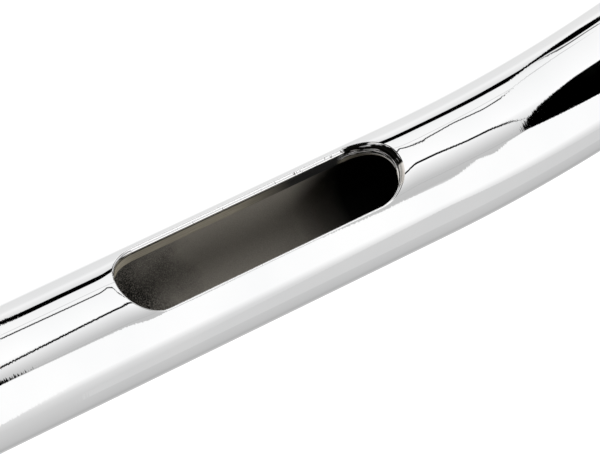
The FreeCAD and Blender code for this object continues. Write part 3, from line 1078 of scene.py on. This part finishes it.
def card_mask(tree, share, angle, low, high):
    """Tell where a direction falls on a card, between its two edges and within its ends."""
    low_edge, high_edge = (
        ramp(tree, share, *((share_of(along_arm), place_of(turn)) for along_arm, turn in stops))
        for stops in (low, high))
    between = math_node(tree, "MULTIPLY",
                        passed(tree, angle, low_edge, CARD_SOFTNESS),
                        before(tree, angle, high_edge, CARD_SOFTNESS))
    start = share_of(max(low[0][0], high[0][0]))
    begun = passed(tree, share, start, CARD_START_SOFTNESS)
    return math_node(tree, "MULTIPLY", between, begun)


def tent_colour(tree, direction):
    """Colour of the tent in a direction, and where the room beside it shows instead."""
    outward, round_arm, along_arm = (
        dot(tree, direction, axis) for axis in (OUT_OF_SLOT, ROUND_SLOT, TO_BEND))
    turn = math_node(tree, "ARCTAN2", round_arm, outward)
    angle = math_node(tree, "ADD", math_node(tree, "DIVIDE", turn, 2 * math.pi), 0.5)
    from_low = math_node(tree, "SUBTRACT", along_arm, SHARE_LOW)
    share = math_node(tree, "DIVIDE", from_low, SHARE_HIGH - SHARE_LOW, clamp=True)
    colour = ramp(tree, angle, *((place_of(turn), linear(grey)) for turn, grey in TENT))
    for _, grey, low, high in CARDS:
        mask = card_mask(tree, share, angle, low, high)
        colour = mixed(tree, colour, linear(grey), mask)
    beside = math_node(tree, "ABSOLUTE", math_node(tree, "SUBTRACT", along_arm, TENT_MIDDLE))
    return colour, passed(tree, beside, TENT_REACH, TENT_BLEND)


def room_colour(tree, direction):
    """Colour of the room in a direction: bands by height, between upright flags."""
    split = tree.nodes.new("ShaderNodeSeparateXYZ")
    tree.links.new(direction, split.inputs[0])
    height = math_node(tree, "MULTIPLY", math_node(tree, "ADD", split.outputs["Z"], 1.0), 0.5)
    room = ramp(tree, height, *(((level + 1) / 2, linear(grey)) for level, grey in ROOM))
    turn = math_node(tree, "ARCTAN2", split.outputs["Y"], split.outputs["X"])
    count = math_node(tree, "MULTIPLY", turn, FLAG_COUNT / (2 * math.pi))
    between = math_node(tree, "PINGPONG", count, 0.5)
    spacing = math_node(tree, "MULTIPLY", between, 2.0)
    flags = ramp(tree, spacing, *((place, linear(grey)) for place, grey in FLAGS))
    shaded = tree.nodes.new("ShaderNodeMix")
    shaded.data_type = "RGBA"
    shaded.blend_type = "MULTIPLY"
    shaded.inputs["Factor"].default_value = 1.0
    tree.links.new(room, shaded.inputs["A"])
    tree.links.new(flags, shaded.inputs["B"])
    return shaded.outputs["Result"]


def background(tree, colour, strength=1.0):
    """Add a background of a grey or of a worked-out colour."""
    node = tree.nodes.new("ShaderNodeBackground")
    give_colour(tree, node.inputs["Color"], colour)
    node.inputs["Strength"].default_value = strength
    return node.outputs[0]


def seen_by(tree, ray, others, shown):
    """Show one background to a kind of ray, and another to all others."""
    node = tree.nodes.new("ShaderNodeMixShader")
    tree.links.new(ray, node.inputs["Fac"])
    tree.links.new(others, node.inputs[1])
    tree.links.new(shown, node.inputs[2])
    return node.outputs[0]


def studio_world():
    """Light the part evenly, and give the chrome a white tent with a few dark seams."""
    world = bpy.data.worlds.new("studio")
    bpy.context.scene.world = world
    world.use_nodes = True
    tree = world.node_tree
    tree.nodes.clear()
    direction = tree.nodes.new("ShaderNodeTexCoord").outputs["Generated"]
    tent, beside = tent_colour(tree, direction)
    seen = mixed(tree, tent, room_colour(tree, direction), beside)
    rays = tree.nodes.new("ShaderNodeLightPath")
    lit = seen_by(tree, rays.outputs["Is Glossy Ray"],
                  background(tree, FILL_GREY), background(tree, seen, SHINE))
    shown = seen_by(tree, rays.outputs["Is Camera Ray"], lit, background(tree, 1.0))
    tree.links.new(shown, tree.nodes.new("ShaderNodeOutputWorld").inputs["Surface"])


def sun(name, strength, spread, towards):
    """Add one broad soft light that chrome doesn't mirror."""
    data = bpy.data.lights.new(name, "SUN")
    data.energy = strength
    data.angle = math.radians(spread)
    light = bpy.data.objects.new(name, data)
    bpy.context.scene.collection.objects.link(light)
    light.matrix_world = towards.to_track_quat("Z", "Y").to_matrix().to_4x4()
    light.visible_glossy = False


def photo_camera():
    """Stand behind the right arm, a little above it, with a long lens and a rolled frame."""
    data = bpy.data.cameras.new("photo_camera")
    data.lens = CAMERA_LENS
    data.sensor_width = 36.0
    data.clip_start = 0.01
    data.clip_end = 50.0
    camera = bpy.data.objects.new("photo_camera", data)
    bpy.context.scene.collection.objects.link(camera)
    level = (CAMERA_AIM - CAMERA_PLACE).to_track_quat("-Z", "Y").to_matrix()
    turned = level @ Matrix.Rotation(CAMERA_ROLL, 3, "Z")
    camera.matrix_world = Matrix.Translation(CAMERA_PLACE) @ turned.to_4x4()
    bpy.context.scene.camera = camera


# Put the part together

plate = chrome("chrome_plate")
cut_plate = cut_chrome("chrome_cut")
rim_plate = rim_chrome("chrome_rim")
bead_plate = chrome("chrome_bead", polish=0.05, haze=0.12, waves=0.05)
thread_steel = chrome("thread_plate", polish=0.18, haze=0.35, waves=0.08)
bore_steel = dark_steel("bore_steel")

pieces = {"crossbar": make_crossbar((plate, cut_plate, bore_steel, rim_plate))}
for side_name, side in (("left", -1), ("right", 1)):
    across = side * RISER_ACROSS
    pieces[f"{side_name}_riser"] = make_riser(
        f"{side_name}_riser_chrome", across, (plate, bead_plate))
    pieces[f"{side_name}_riser_insert"] = make_insert(
        f"{side_name}_insert_chrome", across, (plate, thread_steel))
for node, piece in pieces.items():
    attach(piece, "root")
    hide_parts(node)

studio_floor()
studio_world()
for lamp in LAMPS:
    sun(*lamp)
photo_camera()
bpy.context.scene.view_settings.view_transform = "Standard"
